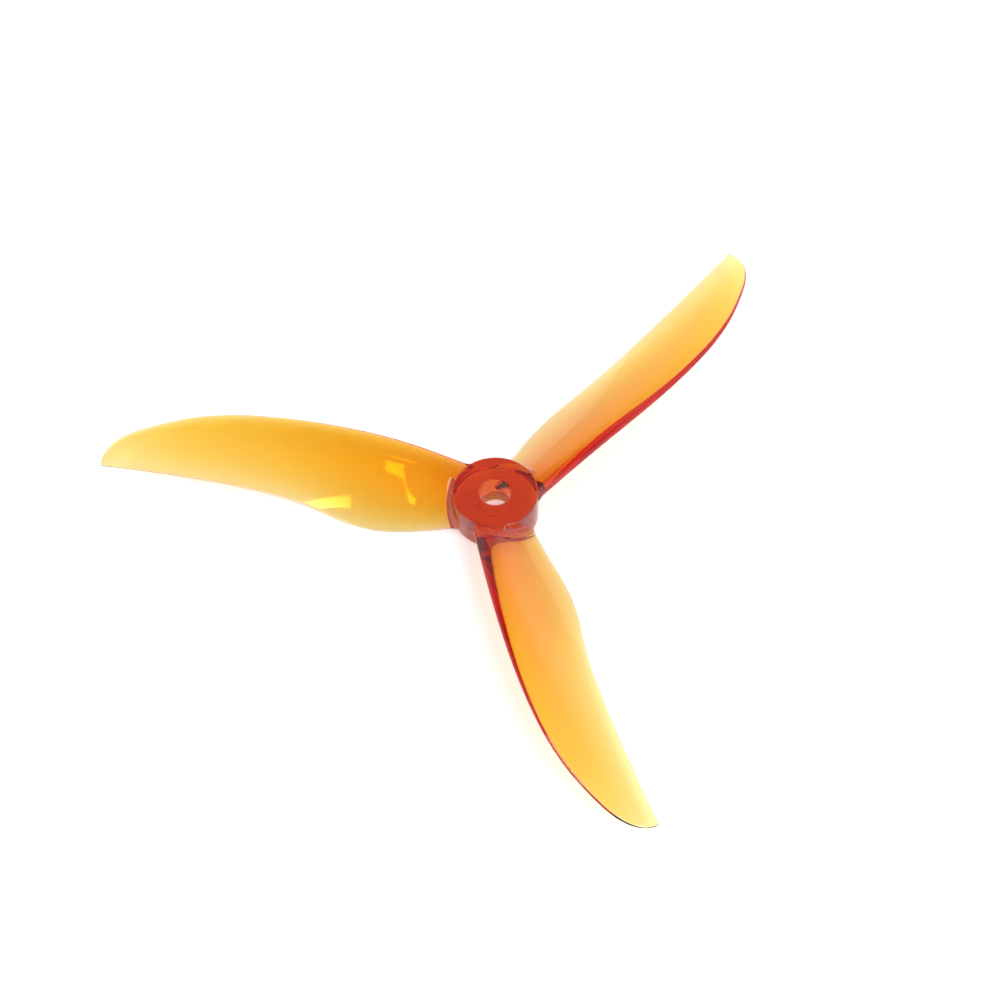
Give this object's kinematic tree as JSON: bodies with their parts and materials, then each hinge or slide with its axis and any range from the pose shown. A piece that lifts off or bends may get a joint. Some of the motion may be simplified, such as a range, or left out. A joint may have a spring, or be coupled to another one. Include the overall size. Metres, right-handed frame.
{
  "type": "propeller",
  "caption": "Clear orange three-blade propeller for a small multirotor, with a plain round hub bored for a 5 mm motor shaft.",
  "frame": {"origin": "the balance point: the propeller's centre of mass, on the spin axis and inside the bore, 2.160 mm below the hub's top face", "axes": "+Z along the spin axis, towards the side the nut bears on; +X along the pitch line of blade_1; it turns clockwise seen from +Z and blows towards -Z"},
  "size_m": [0.1024, 0.11, 0.0079],
  "materials": {
    "hub_plastic": "clear orange polycarbonate, gloss, deep red-orange where it is thick",
    "blade_plastic": "clear orange polycarbonate, gloss, yellow-orange where it is thin"
  },
  "bodies": {
    "root": {"hub": "hub_plastic", "blade_1": "blade_plastic", "blade_2": "blade_plastic", "blade_3": "blade_plastic"}
  },
  "joints": []
}
